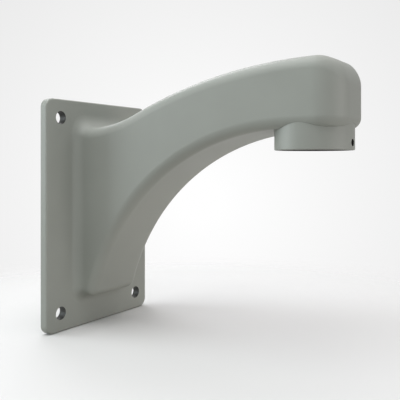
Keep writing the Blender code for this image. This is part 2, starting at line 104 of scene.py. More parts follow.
# Collar, screwed into the head from below
COUNTERBORE_DEPTH = 0.0066
SPIGOT_BORE_DEPTH = 0.006
SHOULDER_WIDTH = 0.0037
THREAD_LENGTH = 0.019
SEAT_Z = HEAD_BOTTOM_Z + COUNTERBORE_DEPTH
SOCKET_FLOOR_Z = SEAT_Z + SPIGOT_BORE_DEPTH
SHOULDER_Z = SEAT_Z - CLEARANCE
JOINT_GAP = 0.0001
COLLAR_EDGE_R = 0.0008
SPIGOT_R = COLLAR_R - SHOULDER_WIDTH
SPIGOT_CHAMFER = 0.0008
NECK_R = 0.020
THREAD_BORE_R = 0.0225
THREAD_TOP_Z = COLLAR_BOTTOM_Z + THREAD_LENGTH
MOUTH_R = 0.025
MOUTH_DEPTH = 0.002
PIPE_PITCH = 0.00231
PIPE_THREAD_DEPTH = 0.0012
O_RING_SECTION = O_RING_HIGH.z - O_RING_LOW.z

# Fasteners
SCREW_Z = (SCREW_LOW.z + SCREW_HIGH.z) / 2
SCREW_R = (SCREW_HIGH.y - SCREW_LOW.y) / 2
SCREW_LENGTH = SCREW_HIGH.x - SCREW_LOW.x
SCREW_GAP = 0.0001
SCREW_PITCH = 0.0008
SCREW_THREAD_DEPTH = 0.0004
SCREW_CHAMFER = 0.0006
SCREW_CUP_R = 0.0011
SCREW_CUP_DEPTH = 0.0006
HEX_SOCKET_WIDTH = 0.0025
HEX_SOCKET_DEPTH = 0.0022
EYE_X = (EYE_LOW.x + EYE_HIGH.x) / 2
EYE_WIRE_R = 0.002
EYE_RING_R = (EYE_HIGH.y - EYE_LOW.y) / 2 - EYE_WIRE_R
EYE_RING_Z = EYE_LOW.z + EYE_WIRE_R + EYE_RING_R
EYE_THREAD_R = 0.0025
EYE_FLARE_R = 0.0034
EYE_BOSS_Z = NUT_HIGH.z + CLEARANCE
EYE_BOSS_R = 0.006
NUT_WIDTH = 0.008
NUT_CHAMFER = 0.0005
EARTH_Z = (EARTH_LOW.z + EARTH_HIGH.z) / 2
EARTH_THREAD_R = 0.002
EARTH_PITCH = 0.0007
EARTH_THREAD_DEPTH = 0.00032
EARTH_HEAD_R = (EARTH_HIGH.z - EARTH_LOW.z) / 2
EARTH_HEAD_HEIGHT = 0.0028
EARTH_HEAD_DOME = 0.0014
EARTH_BOSS_X = WASHER_HIGH.x + CLEARANCE
EARTH_BOSS_R = 0.005
RECESS_LENGTH = 0.0046
RECESS_WIDTH = 0.0011
RECESS_DEPTH = 0.0016
RECESS_TAPER = 0.55

# Seals
GASKET_WIDTH = 0.0054
GASKET_CORNER_R = 0.008
GASKET_DEPTH = GASKET_HIGH.x
GASKET_RIB_DEPTH = 0.0005
GASKET_RIBS = 2

# Material slots of the casting and the collar
COATED = 0
# slot 1 carries the painted shade: a near-black colour where only shade falls
PAINTED_SHADE_SLOT = 1

# Facets
FILLET_STEPS = 12
ARC_STEPS = 96
HEEL_STEPS = 12
HEAD_STEPS = 6
NOSE_STEPS = 24
CORNER_STEPS = 12
ROUND_SEGMENTS = 144
SMALL_SEGMENTS = 48
THREAD_STEPS = 8
THREAD_SLOPE = 1.3
THREAD_FLAT = 0.15
HEX_SIDES = 6
SHARP_ANGLE = math.radians(34)
MERGE_DISTANCE = 1e-6

# Camera of the photograph, level, with the horizon above the middle of the frame
CAMERA_PLACE = (0.3849, -0.3951, 0.0461)
CAMERA_TURN = math.radians(34)
CAMERA_LENS = 52.2
CAMERA_SHIFT_Y = -0.0957
CAMERA_CLIP = 0.01

# Floor, backdrop and light
FLOOR_GAP = 0.0002
FLOOR_Z = CASTING_LOW.z - FLOOR_GAP
FLOOR_MIDDLE = (0.10, 0.0)
FLOOR_HALF = 0.46
FLOOR_SEEN = (0.745, 0.75, 0.745)
FLOOR_BOUNCE_FRONT = (0.36, 0.345, 0.32)
FLOOR_BOUNCE_BACK = (0.74, 0.70, 0.65)
FLOOR_BOUNCE_START = -0.08
FLOOR_BOUNCE_END = 0.04
FLOOR_FADE_START = 0.16
FLOOR_FADE_END = 0.44
BACKDROP_MIDDLE = (-0.559, 0.829, -0.066)
BACKDROP_WHITE_ANGLE = math.radians(2)
BACKDROP_EDGE_ANGLE = math.radians(32)
BACKDROP_EDGE = 0.80
BACKDROP_FAR_START = math.radians(26)
BACKDROP_FAR_END = math.radians(60)
BACKDROP_FAR = 0.45
WORLD_LEVEL = 0.375
LAMPS = (
    {"name": "key", "way": (-0.10, -0.38, 1.0), "distance": 1.1, "size": 1.2,
     "power": 8.6, "colour": (1.0, 1.0, 1.0)},
    {"name": "back", "way": (0.10, 0.40, 0.95), "distance": 1.1, "size": 1.2,
     "power": 3.2, "colour": (1.04, 0.98, 0.98)},
    {"name": "rim", "way": (-0.60, 0.35, 0.70), "distance": 1.5, "size": 0.8,
     "power": 5.5, "colour": (1.0, 0.98, 1.02)},
    {"name": "left", "way": (-0.87, -0.47, 0.17), "distance": 1.5, "size": 0.9,
     "power": 9.4, "colour": (0.93, 1.02, 1.05)},
    {"name": "front", "way": (0.40, -0.88, 0.25), "distance": 0.7, "size": 0.5,
     "power": 0.45, "colour": (0.97, 1.02, 1.0)},
    {"name": "right", "way": (0.98, 0.12, 0.04), "distance": 3.0, "size": 1.8,
     "power": 19.0, "colour": (1.05, 0.97, 0.97)},
)

# Finishes
COAT_DARK = (0.300, 0.319, 0.292)
COAT_LIGHT = (0.326, 0.346, 0.317)
BARE_ALUMINIUM = (0.60, 0.60, 0.595)
STAINLESS = (0.56, 0.56, 0.55)
BLACK_OXIDE = (0.030, 0.030, 0.032)
ZINC = (0.62, 0.63, 0.64)
# painted shade: near-black colour on the hole walls, the collar's bore and its lower face, standing in for
# the shade that falls there
PAINTED_SHADE_DARK = (0.030, 0.030, 0.026)
RUBBER_DARK = (0.016, 0.016, 0.016)
RUBBER_LIGHT = (0.028, 0.028, 0.027)
TOOL_MARK_SHADE = 0.85
NOISE_LOW = 0.3
NOISE_HIGH = 0.7


def spread(low, high, steps):
    return [low + (high - low) * i / steps for i in range(steps + 1)]


def turn_angles(segments):
    return [2 * math.pi * i / segments for i in range(segments)]


class Skin:
    """A mesh made of rings of points, the bands between them and flat sheets."""

    def __init__(self):
        self.bm = bmesh.new()

    def ring(self, points):
        return [self.bm.verts.new(point) for point in points]

    def band(self, first, second, finish):
        count = len(first)
        for i in range(count):
            j = (i + 1) % count
            face = self.bm.faces.new((first[i], first[j], second[j], second[i]))
            face.material_index = finish

    def bands(self, loops, finish=COATED):
        for first, second in zip(loops, loops[1:]):
            self.band(first, second, finish)

    def cap(self, loop):
        self.bm.faces.new(loop)

    def sheet(self, loops, normal):
        """Flat face inside the first loop, with the other loops as holes."""
        edges = []
        for loop in loops:
            for pair in zip(loop, loop[1:] + loop[:1]):
                edges.append(self.bm.edges.get(pair) or self.bm.edges.new(pair))
        bmesh.ops.triangle_fill(self.bm, edges=edges, normal=normal, use_beauty=True)


def finish_mesh(name, bm, place=None):
    """Mesh object with its faces pointing out, smooth between its sharp edges."""
    bmesh.ops.remove_doubles(bm, verts=bm.verts, dist=MERGE_DISTANCE)
    bmesh.ops.recalc_face_normals(bm, faces=bm.faces)
    if place is not None:
        bmesh.ops.transform(bm, matrix=place, verts=bm.verts)
    mesh = bpy.data.meshes.new(name)
    bm.to_mesh(mesh)
    bm.free()
    obj = bpy.data.objects.new(name, mesh)
    bpy.context.scene.collection.objects.link(obj)
    return obj


def boolean(target, tool, operation):
    """Cut or join at once, and throw the tool away; cut faces keep the tool's material."""
    modifier = target.modifiers.new(tool.name, "BOOLEAN")
    modifier.operation = operation
    modifier.object = tool
    modifier.solver = "EXACT"
    modifier.material_mode = "TRANSFER"
    graph = bpy.context.evaluated_depsgraph_get()
    result = bpy.data.meshes.new_from_object(target.evaluated_get(graph), depsgraph=graph)
    target.modifiers.clear()
    target.data = result
    bpy.data.objects.remove(tool, do_unlink=True)


def smooth(obj):
    """Smooth shading, weighted by face area so that flats stay flat beside their rounded edges."""
    obj.data.shade_smooth()
    obj.data.set_sharp_from_angle(angle=SHARP_ANGLE)
    weighted = obj.modifiers.new("weighted normals", "WEIGHTED_NORMAL")
    weighted.keep_sharp = True


def dress(obj, node, body):
    """Put a finished piece on its body, in place of its CAD node."""
    smooth(obj)
    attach(obj, body)
    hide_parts(node)


def circle(radius, z, segments):
    return [(radius * math.cos(a), radius * math.sin(a), z) for a in turn_angles(segments)]


def thread_wave(share):
    """Height of a V thread with flattened crest and root, over one pitch."""
    peak = 1 - abs(2 * (share % 1.0) - 1)
    return min(1.0, max(0.0, THREAD_SLOPE * peak - THREAD_FLAT))


def thread_rings(root_r, crest_r, low, high, pitch, segments):
    """Rings of a right-hand thread about local Z that runs out at both ends."""
    rings = []
    for z in spread(low, high, round((high - low) / pitch * THREAD_STEPS)):
        run_out = min(1.0, (z - low) / pitch, (high - z) / pitch)
        ring = []
        for angle in turn_angles(segments):
            wave = thread_wave(z / pitch - angle / (2 * math.pi)) * run_out
            radius = root_r + (crest_r - root_r) * wave
            ring.append((radius * math.cos(angle), radius * math.sin(angle), z))
        rings.append(ring)
    return rings


def turned_solid(rings):
    """Solid about local Z from rings whose first and last close it flat."""
    skin = Skin()
    loops = [skin.ring(points) for points in rings]
    skin.bands(loops)
    skin.cap(loops[0])
    skin.cap(loops[-1])
    return skin.bm


def turned_tube(rings):
    """Hollow solid about local Z whose last ring joins its first."""
    skin = Skin()
    loops = [skin.ring(points) for points in rings]
    skin.bands(loops + loops[:1])
    return skin.bm


def plain_rings(outline, segments):
    return [circle(radius, z, segments) for radius, z in outline]


def upright(x, y=0.0, z=0.0):
    return Matrix.Translation((x, y, z))


def along_arm(x, z):
    """Places a solid turned about local Z with its axis along +X."""
    return Matrix.Translation((x, 0, z)) @ Matrix.Rotation(math.pi / 2, 4, "Y")


def rounded_rectangle(half_width, z_low, z_high, radius, x):
    """Corner-rounded outline in a plane of constant x."""
    corners = ((1, z_high - radius, 0), (-1, z_high - radius, 90),
               (-1, z_low + radius, 180), (1, z_low + radius, 270))
    points = []
    for side, centre_z, start in corners:
        centre_y = side * (half_width - radius)
        for angle in spread(start, start + 90, CORNER_STEPS):
            turned = math.radians(angle)
            points.append((x, centre_y + radius * math.cos(turned), centre_z + radius * math.sin(turned)))
    return points


def underside_stations():
    """(point, inward normal) in XZ, from the root along heel, long arc and head."""
    run = OUTLET_X - UNDERSIDE_FLAT - ROOT_X - HEEL_FLAT
    rise = HEEL_Z + HEEL_R - HEAD_BOTTOM_Z
    radius = (run ** 2 + rise ** 2 - HEEL_R ** 2) / (2 * (HEEL_R - rise))
    centre = Vector((OUTLET_X - UNDERSIDE_FLAT, HEAD_BOTTOM_Z - radius))
    heel = Vector((ROOT_X + HEEL_FLAT, HEEL_Z + HEEL_R))
    lean = math.atan2(heel.y - centre.y, centre.x - heel.x)
    stations = [(Vector((ROOT_X, HEEL_Z)), Vector((0, 1)))]
    for angle in spread(math.pi / 2, lean, HEEL_STEPS):
        inward = Vector((-math.cos(angle), math.sin(angle)))
        stations.append((heel - HEEL_R * inward, inward))
    for angle in spread(lean, math.pi / 2, ARC_STEPS)[1:]:
        inward = Vector((-math.cos(angle), math.sin(angle)))
        stations.append((centre + radius * inward, inward))
    return stations


def top_station(x):
    """(point, inward normal) in XZ on the top's two tangent arcs."""
    run = NOSE_X - ROOT_X
    rise = HEAD_TOP_Z - ROOT_TOP_Z
    both_radii = (run ** 2 + rise ** 2) / (2 * rise)
    dip_r = both_radii * TOP_DIP_SHARE
    crown_r = both_radii - dip_r
    if x < ROOT_X + TOP_DIP_SHARE * run:
        slope = math.asin((x - ROOT_X) / dip_r)
        z = ROOT_TOP_Z + dip_r * (1 - math.cos(slope))
    else:
        slope = math.asin((NOSE_X - x) / crown_r)
        z = HEAD_TOP_Z - crown_r * (1 - math.cos(slope))
    return Vector((x, z)), Vector((math.sin(slope), -math.cos(slope)))


def head_top(x):
    """Height of the head's top, which falls away in a brow over the nose."""
    return HEAD_TOP_Z - BROW_R + math.sqrt(BROW_R ** 2 - (x - NOSE_X) ** 2)


def half_section(inset, upper_edge=UPPER_EDGE_R):
    """(face, depth from skin, distance from flank, in-plane normal) round the two edges of one side."""
    lower = INNER_EDGE_R if inset else LOWER_EDGE_R
    upper = INNER_EDGE_R if inset else upper_edge
    angles = spread(0, math.pi / 2, FILLET_STEPS)
    edges = []
    for a in angles:
        depth = inset + lower * (1 - math.cos(a))
        edges.append(("under", depth, inset + lower * (1 - math.sin(a)), (math.sin(a), -math.cos(a))))
    for a in reversed(angles):
        depth = inset + upper * (1 - math.cos(a))
        edges.append(("top", depth, inset + upper * (1 - math.sin(a)), (math.sin(a), math.cos(a))))
    return edges


def mirrored(half):
    """Close a half ring by its mirror image across Y."""
    return half + [(x, -y, z) for x, y, z in reversed(half)]


def section_ring(low, high, inset):
    half = []
    for face, depth, from_flank, _ in half_section(inset):
        point, inward = low if face == "under" else high
        x, z = point + inward * depth
        half.append((x, HALF_ARM - from_flank, z))
    return mirrored(half)


def flank_rings(inset):
    """Rings from the root to where the nose starts to turn."""
    under = underside_stations()
    head_x = OUTLET_X - UNDERSIDE_FLAT
    tops = [top_station(x) for x in spread(ROOT_TOP_X, head_x, len(under) - 1)]
    for x in spread(head_x, NOSE_X, HEAD_STEPS)[1:-1]:
        under.append((Vector((x, HEAD_BOTTOM_Z)), Vector((0, 1))))
        tops.append(top_station(x))
    return [section_ring(low, high, inset) for low, high in zip(under, tops)]


def nose_rings(inset):
    """Rings round the head's plan corners, ending at the flat of its front."""
    rings = []
    for turned in spread(0, math.pi / 2, NOSE_STEPS):
        upper_edge = UPPER_EDGE_R + (NOSE_EDGE_R - UPPER_EDGE_R) * math.sin(turned)
        half = []
        for face, depth, from_flank, _ in half_section(inset, upper_edge):
            radius = NOSE_CORNER_R - from_flank
            x = NOSE_X + radius * math.sin(turned)
            y = HALF_ARM - NOSE_CORNER_R + radius * math.cos(turned)
            z = HEAD_BOTTOM_Z + depth if face == "under" else head_top(x) - depth
            half.append((x, y, z))
        rings.append(mirrored(half))
    return rings


def section_normals():
    normals = [normal for _, _, _, normal in half_section(0.0)]
    return normals + [(-y, z) for y, z in reversed(normals)]


def spread_ring(ring, x, out):
    return [(x, y + out * ny, z + out * nz) for (_, y, z), (ny, nz) in zip(ring, section_normals())]


def root_rings(first_ring):
    """Concave fillet that spreads the first ring of the arm onto the flange."""
    rings = []
    for angle in spread(math.pi / 2, 0, FILLET_STEPS)[:-1]:
        rings.append(fillet_ring(first_ring, 1 - math.sin(angle), 1 - math.cos(angle)))
    return rings


def fillet_ring(ring, up_share, out_share):
    """Ring at these shares of the root fillet's height and spread, which are larger over the top."""
    points = []
    for (_, y, z), (across, up) in zip(ring, section_normals()):
        over_top = max(up, 0.0)
        height = ROOT_FILLET_HEIGHT + (ROOT_TOP_FILLET_R - ROOT_FILLET_HEIGHT) * over_top
        width = ROOT_FILLET_SPREAD + (ROOT_TOP_FILLET_R - ROOT_FILLET_SPREAD) * over_top
        out = width * out_share
        points.append((FLANGE_THICKNESS + height * up_share, y + out * across, z + out * up))
    return points


def close_nose(skin, ring):
    """Join the two halves of the last ring across the front of the head."""
    half = len(ring) // 2
    other = list(reversed(ring[half:]))
    for i in range(half - 1):
        skin.bm.faces.new((ring[i], ring[i + 1], other[i + 1], other[i]))


def flange_outline(inset, x):
    high = FLANGE_HALF_HEIGHT - inset
    return rounded_rectangle(FLANGE_HALF_WIDTH - inset, -high, high, FLANGE_CORNER_R - inset, x)


def rim_rings():
    """Flange's edge, from its front face round to its back face."""
    rings = []
    for angle in spread(math.pi / 2, 0, FILLET_STEPS):
        inset = FLANGE_EDGE_R * (1 - math.cos(angle))
        rings.append(flange_outline(inset, FLANGE_THICKNESS - FLANGE_EDGE_R * (1 - math.sin(angle))))
    for angle in spread(0, math.pi / 2, FILLET_STEPS):
        inset = FLANGE_BACK_EDGE_R * (1 - math.cos(angle))
        rings.append(flange_outline(inset, FLANGE_BACK_EDGE_R * (1 - math.sin(angle))))
    return rings


def hole_rings(y, z):
    """Wall of a fixing hole with its two edges slightly broken, front to back."""
    profile = []
    for angle in spread(math.pi / 2, 0, FILLET_STEPS // 2):
        out = HOLE_EDGE_R * (1 - math.cos(angle))
        profile.append((FLANGE_THICKNESS - HOLE_EDGE_R * (1 - math.sin(angle)), out))
    profile += [(FLANGE_THICKNESS - x, out) for x, out in reversed(profile)]
    rings = []
    for x, out in profile:
        around = circle(HOLE_R + out, 0.0, SMALL_SEGMENTS)
        rings.append([(x, y + across, z + up) for across, up, _ in around])
    return rings


def casting_skin():
    """Flange, root fillet, arm and head as one closed outer skin."""
    skin = Skin()
    arm = flank_rings(0.0)
    loops = [skin.ring(points) for points in root_rings(arm[0]) + arm + nose_rings(0.0)]
    skin.bands(loops)
    close_nose(skin, loops[-1])
    rim = [skin.ring(points) for points in rim_rings()]
    skin.bands(rim)
    y = FLANGE_HALF_WIDTH - HOLE_INSET
    z = FLANGE_HALF_HEIGHT - HOLE_INSET
    holes = []
    for corner in ((-y, -z), (-y, z), (y, -z), (y, z)):
        holes.append([skin.ring(points) for points in hole_rings(*corner)])
        # painted shade on the fixing holes' walls
        skin.bands(holes[-1], PAINTED_SHADE_SLOT)
    skin.sheet([rim[0], loops[0]] + [hole[0] for hole in holes], (1, 0, 0))
    skin.sheet([rim[-1]] + [hole[-1] for hole in holes], (-1, 0, 0))
    return skin.bm


def cavity_skin():
    """The inside of the arm, with the rear opening's edge rounded over."""
    skin = Skin()
    inside = flank_rings(ARM_WALL)
    rings = [spread_ring(inside[0], -OVERRUN, MOUTH_EDGE_R)]
    for angle in spread(0, math.pi / 2, FILLET_STEPS // 2):
        out = MOUTH_EDGE_R * (1 - math.sin(angle))
        rings.append(spread_ring(inside[0], MOUTH_EDGE_R * (1 - math.cos(angle)), out))
    loops = [skin.ring(points) for points in rings + inside + nose_rings(ARM_WALL)]
    skin.bands(loops)
    skin.cap(loops[0])
    close_nose(skin, loops[-1])
    return skin.bm


def rod(radius, low, high, segments):
    return turned_solid(plain_rings([(radius, low), (radius, high)], segments))


def gasket_outline(out, x):
    """Outline round the rear opening, this far out from the gasket's inner edge."""
    inset = GASKET_WIDTH - out
    radius = GASKET_CORNER_R + out
    return rounded_rectangle(GASKET_HIGH.y - inset, GASKET_LOW.z + inset, GASKET_HIGH.z - inset, radius, x)


def gasket_groove():
    low = -CLEARANCE
    high = GASKET_WIDTH + CLEARANCE
    floor = GASKET_DEPTH + CLEARANCE
    profile = [(high, -OVERRUN), (high, floor), (low, floor), (low, -OVERRUN)]
    return turned_tube([gasket_outline(out, x) for out, x in profile])


def socket_rings():
    """Counterbore for the collar, and the bore for its spigot above it."""
    counterbore_r = COLLAR_R + JOINT_GAP
    bore_r = SPIGOT_R + CLEARANCE
    outline = [(bore_r, SOCKET_FLOOR_Z + OVERRUN), (bore_r, SEAT_Z), (counterbore_r, SEAT_Z),
               (counterbore_r, COLLAR_BOTTOM_Z)]
    return plain_rings(outline, ROUND_SEGMENTS)


def build_casting(coat, painted_shade, bare):
    casting = finish_mesh("casting_skin", casting_skin())
    casting.data.materials.append(coat)
    casting.data.materials.append(painted_shade)
    cavity = finish_mesh("cavity", cavity_skin())
    cavity.data.materials.append(coat)
    socket_wall = rod(COLLAR_R + ARM_WALL, COLLAR_BOTTOM_Z, SOCKET_FLOOR_Z, ROUND_SEGMENTS)
    eye_post = rod(EYE_BOSS_R, EYE_BOSS_Z, HEAD_TOP_Z, SMALL_SEGMENTS)
    earth_post = rod(EARTH_BOSS_R, 0.0, ARM_REACH, SMALL_SEGMENTS)
    bosses = (finish_mesh("socket_boss", socket_wall, upright(OUTLET_X)),
              finish_mesh("eye_boss", eye_post, upright(EYE_X)),
              finish_mesh("earth_boss", earth_post, along_arm(EARTH_BOSS_X, EARTH_Z)))
    for boss in bosses:
        boss.data.materials.append(coat)
        boolean(cavity, boss, "DIFFERENCE")
    boolean(casting, cavity, "DIFFERENCE")

    eye_bore = rod(EYE_THREAD_R + CLEARANCE, EYE_BOSS_Z - OVERRUN, EYE_HIGH.z + CLEARANCE, SMALL_SEGMENTS)
    earth_bore = rod(EARTH_THREAD_R + CLEARANCE, -OVERRUN, EARTH_HIGH.x + CLEARANCE - EARTH_BOSS_X,
                     SMALL_SEGMENTS)
    cuts = (finish_mesh("collar_socket", turned_solid(socket_rings()), upright(OUTLET_X)),
            finish_mesh("gasket_groove", gasket_groove()),
            finish_mesh("eye_bore", eye_bore, upright(EYE_X)),
            finish_mesh("earth_bore", earth_bore, along_arm(EARTH_BOSS_X, EARTH_Z)))
    for cut in cuts:
        cut.data.materials.append(bare)
        boolean(casting, cut, "DIFFERENCE")
    dress(casting, "arm_casting", "bracket")


def collar_rings():
    """Rings round the collar's section: up the outside, down the threaded bore."""
    groove_low = O_RING_LOW.z - CLEARANCE
    groove_high = O_RING_HIGH.z + CLEARANCE
    groove_r = (O_RING_LOW.y + O_RING_HIGH.y) / 2 + O_RING_HIGH.y - O_RING_SECTION - CLEARANCE
    outside = [(MOUTH_R, COLLAR_BOTTOM_Z)]
    for angle in spread(0, math.pi / 2, FILLET_STEPS // 2):
        radius = COLLAR_R - COLLAR_EDGE_R * (1 - math.sin(angle))
        outside.append((radius, COLLAR_BOTTOM_Z + COLLAR_EDGE_R * (1 - math.cos(angle))))
    outside += [
        (COLLAR_R, SHOULDER_Z),
        (SPIGOT_R, SHOULDER_Z),
        (SPIGOT_R, groove_low),
        (groove_r, groove_low),
        (groove_r, groove_high),
        (SPIGOT_R, groove_high),
        (SPIGOT_R, COLLAR_TOP_Z - SPIGOT_CHAMFER),
        (SPIGOT_R - SPIGOT_CHAMFER, COLLAR_TOP_Z),
        (NECK_R, COLLAR_TOP_Z),
        (NECK_R, THREAD_TOP_Z),
    ]
    thread_low = COLLAR_BOTTOM_Z + MOUTH_DEPTH
    bore = thread_rings(THREAD_BORE_R, THREAD_BORE_R + PIPE_THREAD_DEPTH, thread_low, THREAD_TOP_Z,
                        PIPE_PITCH, ROUND_SEGMENTS)
    mouth = [(MOUTH_R, thread_low)]
    return plain_rings(outside, ROUND_SEGMENTS) + bore[::-1] + plain_rings(mouth, ROUND_SEGMENTS)


def build_collar(coat, painted_shade):
    collar = finish_mesh("collar_sleeve", turned_tube(collar_rings()), upright(OUTLET_X))
    collar.data.materials.append(coat)
    collar.data.materials.append(painted_shade)
    # the collar's bore, mouth and lower face get the painted shade
    for face in collar.data.polygons:
        away = math.hypot(face.center.x - OUTLET_X, face.center.y)
        in_bore = away < MOUTH_R and face.center.z < THREAD_TOP_Z
        if in_bore or face.center.z < COLLAR_BOTTOM_Z + MERGE_DISTANCE:
            face.material_index = PAINTED_SHADE_SLOT
    hole = rod(SCREW_R + SCREW_GAP, 0.0, COLLAR_R + OVERRUN, SMALL_SEGMENTS)
    tool = finish_mesh("set_screw_hole", hole, along_arm(OUTLET_X, SCREW_Z))
    # the set-screw hole's wall takes the painted shade from this tool
    tool.data.materials.append(painted_shade)
    boolean(collar, tool, "DIFFERENCE")
    dress(collar, "thread_collar", "bracket")


def build_o_ring(rubber):
    middle_r = O_RING_HIGH.y - O_RING_SECTION / 2
    middle_z = (O_RING_LOW.z + O_RING_HIGH.z) / 2
    outline = []
    for angle in turn_angles(SMALL_SEGMENTS // 2):
        radius = middle_r + O_RING_SECTION / 2 * math.cos(angle)
        outline.append((radius, middle_z + O_RING_SECTION / 2 * math.sin(angle)))
    ring = finish_mesh("o_ring", turned_tube(plain_rings(outline, ROUND_SEGMENTS)), upright(OUTLET_X))
    ring.data.materials.append(rubber)
    dress(ring, "collar_o_ring", "bracket")


def hex_rod(width, low, high):
    return rod(width / math.sqrt(3), low, high, HEX_SIDES)


def build_set_screw(steel):
    """Grub screw: cup point, thread and hex socket."""
    root_r = SCREW_R - SCREW_THREAD_DEPTH
    point = [(SCREW_CUP_R / 2, SCREW_CUP_DEPTH), (SCREW_CUP_R, 0.0), (SCREW_R - SCREW_CHAMFER, 0.0)]
    thread = thread_rings(root_r, SCREW_R, SCREW_CHAMFER / 2, SCREW_LENGTH - SCREW_CHAMFER / 2,
                          SCREW_PITCH, SMALL_SEGMENTS)
    end = [(SCREW_R - SCREW_CHAMFER, SCREW_LENGTH)]
    rings = plain_rings(point, SMALL_SEGMENTS) + thread + plain_rings(end, SMALL_SEGMENTS)
    place = along_arm(SCREW_LOW.x, SCREW_Z)
    screw = finish_mesh("grub_screw", turned_solid(rings), place)
    screw.data.materials.append(steel)
    floor = SCREW_LENGTH - HEX_SOCKET_DEPTH
    socket = finish_mesh("hex_socket", hex_rod(HEX_SOCKET_WIDTH, floor, SCREW_LENGTH + OVERRUN), place)
    socket.data.materials.append(steel)
    boolean(screw, socket, "DIFFERENCE")
    dress(screw, "set_screw", "set_screw")


def build_gasket(rubber):
    """Flat rubber band with raised ribs on the side that meets the wall."""
    profile = []
    for out in spread(0.0, GASKET_WIDTH, GASKET_RIBS * FILLET_STEPS):
        wave = abs(math.sin(math.pi * GASKET_RIBS * out / GASKET_WIDTH))
        profile.append((out, GASKET_RIB_DEPTH * (1 - wave)))
    profile += [(GASKET_WIDTH, GASKET_DEPTH), (0.0, GASKET_DEPTH)]
    band = finish_mesh("gasket", turned_tube([gasket_outline(out, x) for out, x in profile]))
    band.data.materials.append(rubber)
    dress(band, "wall_gasket", "bracket")


def build_lanyard_eye(steel):
    """Eye bolt with a flared neck under its thread."""
    wire = []
    for angle in turn_angles(SMALL_SEGMENTS // 2):
        wire.append((EYE_RING_R + EYE_WIRE_R * math.cos(angle), EYE_WIRE_R * math.sin(angle)))
    ring = turned_tube(plain_rings(wire, ROUND_SEGMENTS // 2))
    eye = finish_mesh("eye_bolt", ring, along_arm(EYE_X, EYE_RING_Z))
    eye.data.materials.append(steel)
    ring_top = EYE_RING_Z + EYE_RING_R + EYE_WIRE_R
    neck = [(EYE_WIRE_R, ring_top - 2 * EYE_WIRE_R), (EYE_FLARE_R, ring_top - EYE_WIRE_R / 2),
            (EYE_THREAD_R, ring_top + EYE_WIRE_R / 4)]
    thread = thread_rings(EYE_THREAD_R - SCREW_THREAD_DEPTH, EYE_THREAD_R, ring_top + EYE_WIRE_R / 4,
                          EYE_HIGH.z, SCREW_PITCH, SMALL_SEGMENTS)
    shank = turned_solid(plain_rings(neck, SMALL_SEGMENTS) + thread)
    tool = finish_mesh("eye_shank", shank, upright(EYE_X))
    tool.data.materials.append(steel)
    boolean(eye, tool, "UNION")
    dress(eye, "lanyard_eye", "bracket")


def build_lanyard_nut(steel):
    """Hexagon nut with chamfered corners."""
    low = NUT_LOW.z
    high = NUT_HIGH.z
    nut = finish_mesh("jam_nut", hex_rod(NUT_WIDTH, low, high), upright(EYE_X))
    nut.data.materials.append(steel)
    corner_r = NUT_WIDTH / math.sqrt(3)
    face_r = NUT_WIDTH / 2
    barrel = [(face_r, low), (corner_r, low + NUT_CHAMFER), (corner_r, high - NUT_CHAMFER), (face_r, high)]
    shaper = finish_mesh("nut_barrel", turned_solid(plain_rings(barrel, SMALL_SEGMENTS)), upright(EYE_X))
    shaper.data.materials.append(steel)
    boolean(nut, shaper, "INTERSECT")
    bore = rod(EYE_THREAD_R + CLEARANCE, low - OVERRUN, high + OVERRUN, SMALL_SEGMENTS)
    tool = finish_mesh("nut_bore", bore, upright(EYE_X))
    tool.data.materials.append(steel)
    boolean(nut, tool, "DIFFERENCE")
    dress(nut, "lanyard_nut", "bracket")


def recess_blade(length, width):
    """Tapered blade of a cross recess, from the top of the head inwards."""
    skin = Skin()
    loops = []
    for depth, share in ((-OVERRUN, 1.0), (0.0, 1.0), (RECESS_DEPTH, RECESS_TAPER)):
        half = (length / 2 * share, width / 2 * share)
        corners = ((1, 1), (-1, 1), (-1, -1), (1, -1))
        loops.append(skin.ring([(half[0] * a, half[1] * b, depth) for a, b in corners]))
    skin.bands(loops)
    skin.cap(loops[0])
    skin.cap(loops[-1])
    return skin.bm


def build_earth_screw(zinc):
    """Pan-head screw with a cross recess, its head towards the wall."""
    rings = []
    for angle in spread(0, math.pi / 2, FILLET_STEPS)[1:]:
        rings.append((EARTH_HEAD_R * math.sin(angle), EARTH_HEAD_DOME * (1 - math.cos(angle))))
    rings += [(EARTH_HEAD_R, EARTH_HEAD_HEIGHT), (EARTH_THREAD_R, EARTH_HEAD_HEIGHT)]
    tip = EARTH_HIGH.x - EARTH_LOW.x
    thread = thread_rings(EARTH_THREAD_R - EARTH_THREAD_DEPTH, EARTH_THREAD_R, EARTH_HEAD_HEIGHT, tip,
                          EARTH_PITCH, SMALL_SEGMENTS)
    place = along_arm(EARTH_LOW.x, EARTH_Z)
    screw = finish_mesh("pan_screw", turned_solid(plain_rings(rings, SMALL_SEGMENTS) + thread[1:]), place)
    screw.data.materials.append(zinc)
    for length, width in ((RECESS_LENGTH, RECESS_WIDTH), (RECESS_WIDTH, RECESS_LENGTH)):
        blade = finish_mesh("recess_blade", recess_blade(length, width), place)
        blade.data.materials.append(zinc)
        boolean(screw, blade, "DIFFERENCE")
    dress(screw, "earth_screw", "bracket")


def build_earth_washer(zinc):
    low = 0.0
    high = WASHER_HIGH.x - WASHER_LOW.x
    hole_r = EARTH_THREAD_R + CLEARANCE
    rim_r = (WASHER_HIGH.z - WASHER_LOW.z) / 2
    edge = high / 4
    outline = [(hole_r, low + edge), (hole_r + edge, low), (rim_r - edge, low), (rim_r, low + edge),
               (rim_r, high - edge), (rim_r - edge, high), (hole_r + edge, high), (hole_r, high - edge)]
    rings = plain_rings(outline, SMALL_SEGMENTS)
    washer = finish_mesh("flat_washer", turned_tube(rings), along_arm(WASHER_LOW.x, EARTH_Z))
    washer.data.materials.append(zinc)
    dress(washer, "earth_washer", "bracket")


